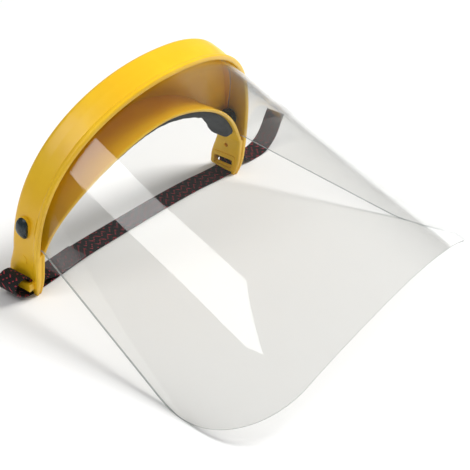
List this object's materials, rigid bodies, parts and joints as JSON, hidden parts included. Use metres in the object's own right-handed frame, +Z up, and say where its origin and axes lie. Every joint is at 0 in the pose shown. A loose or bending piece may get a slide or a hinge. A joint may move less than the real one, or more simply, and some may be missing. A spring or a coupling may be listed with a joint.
{
  "type": "browguard face shield",
  "caption": "Moulded browguard with a clear wraparound visor on domed oval temple studs, a foam sweatband inside and an adjustable elastic head strap through toothed keepers.",
  "frame": {"origin": "bottom centre of the box round the whole object as it lies, on the table", "axes": "+Z up, to the wearer's front; -Y to the wearer's chin; +X to the wearer's left"},
  "size_m": [0.2442, 0.1714, 0.1039],
  "materials": {
    "shell": "moulded, satin gloss",
    "visor": "clear, polished",
    "foam": "closed cell foam, matt",
    "strap": "ribbed elastic weave with a coloured zigzag thread",
    "stud": "smooth, glossy"
  },
  "bodies": {
    "browguard": {"browguard": "shell", "sweatband": "foam", "strap": "strap", "stud_right": "stud", "stud_left": "stud", "retainer_right": "stud", "retainer_left": "stud"},
    "visor": {"visor": "visor"}
  },
  "joints": [
    {"name": "visor_swing", "type": "hinge", "parent": "browguard", "child": "visor", "pos_m": [0, 0.07465, 0.0365], "axis": [1, 0, 0], "range_deg": [0, 8]}
  ]
}
